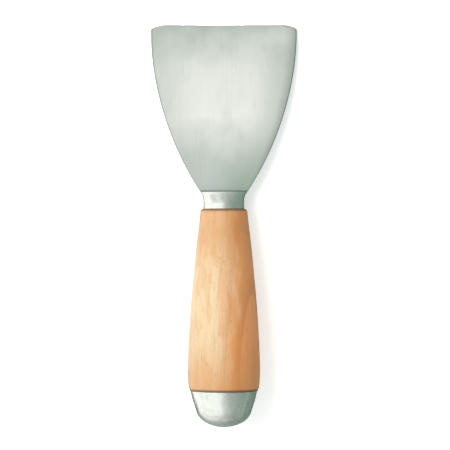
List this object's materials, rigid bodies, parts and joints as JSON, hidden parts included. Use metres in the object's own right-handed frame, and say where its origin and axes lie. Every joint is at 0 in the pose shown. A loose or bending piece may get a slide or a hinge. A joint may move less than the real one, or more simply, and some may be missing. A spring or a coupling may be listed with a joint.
{
  "type": "hand floor scraper",
  "caption": "Hand floor scraper: flared flat steel blade, steel bolster, round tapered wooden handle and a domed steel cap to strike with a hammer.",
  "frame": {"origin": "centre of the bounding box, on the tool's axis and in the middle plane of the blade", "axes": "+Y along the tool from the strike cap to the cutting edge, +X across the blade, +Z out of the blade's front face"},
  "size_m": [0.076, 0.21, 0.0382],
  "materials": {
    "blade_steel": "satin ground carbon steel, faint grey-green cast",
    "bolster_steel": "polished bright steel",
    "shank_steel": "forged, dull",
    "rivet_steel": "plain drawn wire",
    "handle_wood": "clear satin varnish over turned beech",
    "hardware_steel": "zinc plated",
    "spring_steel": "black oiled spring steel",
    "cap_steel": "polished bright steel, lightly worn at the striking end"
  },
  "bodies": {
    "root": {"blade": "blade_steel", "bolster": "bolster_steel", "shank": "shank_steel", "blade_rivets": "rivet_steel", "handle": "handle_wood", "clamp_washer": "hardware_steel", "spring_washer": "spring_steel", "clamp_nut": "hardware_steel", "strike_cap": "cap_steel", "cap_pins": "rivet_steel"}
  },
  "joints": []
}
